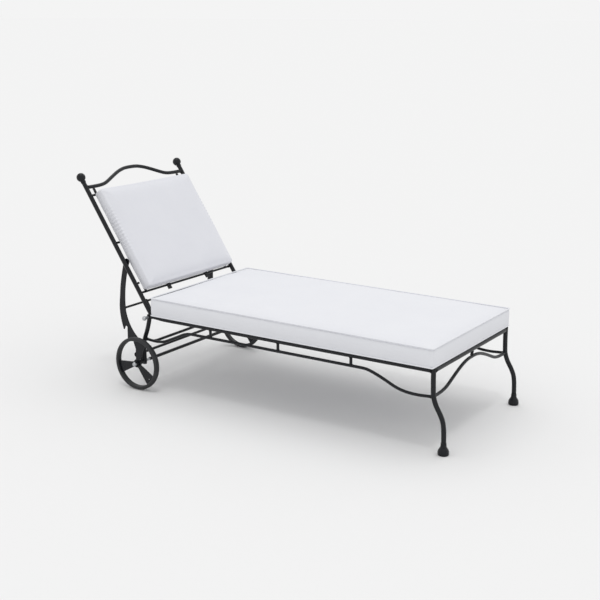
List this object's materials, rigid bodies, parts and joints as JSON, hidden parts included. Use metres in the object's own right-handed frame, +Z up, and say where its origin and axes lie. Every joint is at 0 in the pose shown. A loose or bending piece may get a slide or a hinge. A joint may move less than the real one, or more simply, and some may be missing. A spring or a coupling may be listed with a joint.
{
  "type": "reclining sun lounger",
  "caption": "Wheeled steel-framed sun lounger whose back reclines on two notched support arms, with a long seat cushion and a back cushion.",
  "frame": {"origin": "middle of the bounding box on the floor", "axes": "+X towards the foot end, +Y towards the lying person's left side, +Z up"},
  "size_m": [1.8006, 0.8082, 0.9009],
  "materials": {
    "frame_paint": "satin charcoal powder coat, finely textured",
    "plated_fittings": "dull zinc-plated steel nuts, bolts and axle",
    "tyre_rubber": "matt black solid rubber",
    "cushion_fabric": "plain white woven outdoor fabric over soft filling"
  },
  "bodies": {
    "bed": {"apron_post": "frame_paint", "axle_cap_nut_left": "plated_fittings", "axle_cap_nut_right": "plated_fittings", "bell_foot_left": "frame_paint", "bell_foot_right": "frame_paint", "front_apron": "frame_paint", "front_leg_left": "frame_paint", "front_leg_right": "frame_paint", "front_rail": "frame_paint", "hinge_bolt_left": "plated_fittings", "hinge_bolt_right": "plated_fittings", "hinge_cap_nut_left": "plated_fittings", "hinge_cap_nut_right": "plated_fittings", "lower_cross_bar": "frame_paint", "lower_rail_left": "frame_paint", "lower_rail_right": "frame_paint", "rail_post_left_1": "frame_paint", "rail_post_left_2": "frame_paint", "rail_post_left_3": "frame_paint", "rail_post_right_1": "frame_paint", "rail_post_right_2": "frame_paint", "rail_post_right_3": "frame_paint", "rear_cross_tube": "frame_paint", "rear_leg_left": "frame_paint", "rear_leg_right": "frame_paint", "rest_bar": "frame_paint", "rest_bar_bracket_left": "frame_paint", "rest_bar_bracket_right": "frame_paint", "seat_cushion": "cushion_fabric", "seat_slat_1": "frame_paint", "seat_slat_2": "frame_paint", "seat_slat_3": "frame_paint", "seat_slat_4": "frame_paint", "seat_slat_5": "frame_paint", "side_rail_left": "frame_paint", "side_rail_right": "frame_paint", "wheel_axle": "plated_fittings"},
    "back": {"arm_pivot_stud_left": "plated_fittings", "arm_pivot_stud_right": "plated_fittings", "back_cross_bar_bottom": "frame_paint", "back_cross_bar_middle": "frame_paint", "back_cross_bar_top": "frame_paint", "back_cushion": "cushion_fabric", "back_strap_1": "frame_paint", "back_strap_2": "frame_paint", "back_strap_3": "frame_paint", "back_strap_4": "frame_paint", "crest_rail": "frame_paint", "finial_left": "frame_paint", "finial_right": "frame_paint", "upright_left": "frame_paint", "upright_right": "frame_paint"},
    "prop": {"arm_link_rod": "frame_paint", "notched_arm_left": "frame_paint", "notched_arm_right": "frame_paint"},
    "wheel_right": {"tyre_right": "tyre_rubber", "wheel_disc_right": "frame_paint"},
    "wheel_left": {"tyre_left": "tyre_rubber", "wheel_disc_left": "frame_paint"}
  },
  "joints": [
    {"name": "back_recline", "type": "hinge", "parent": "bed", "child": "back", "pos_m": [-0.51508, 0, 0.3156], "axis": [0, -1, 0], "range_deg": [0, 54]},
    {"name": "prop_swing", "type": "hinge", "parent": "back", "child": "prop", "pos_m": [-0.64933, 0, 0.53556], "axis": [0, -1, 0], "range_deg": [0, 5]},
    {"name": "wheel_right_spin", "type": "hinge", "parent": "bed", "child": "wheel_right", "pos_m": [-0.54808, -0.378, 0.115], "axis": [0, 1, 0], "continuous": true},
    {"name": "wheel_left_spin", "type": "hinge", "parent": "bed", "child": "wheel_left", "pos_m": [-0.54808, 0.378, 0.115], "axis": [0, 1, 0], "continuous": true}
  ]
}
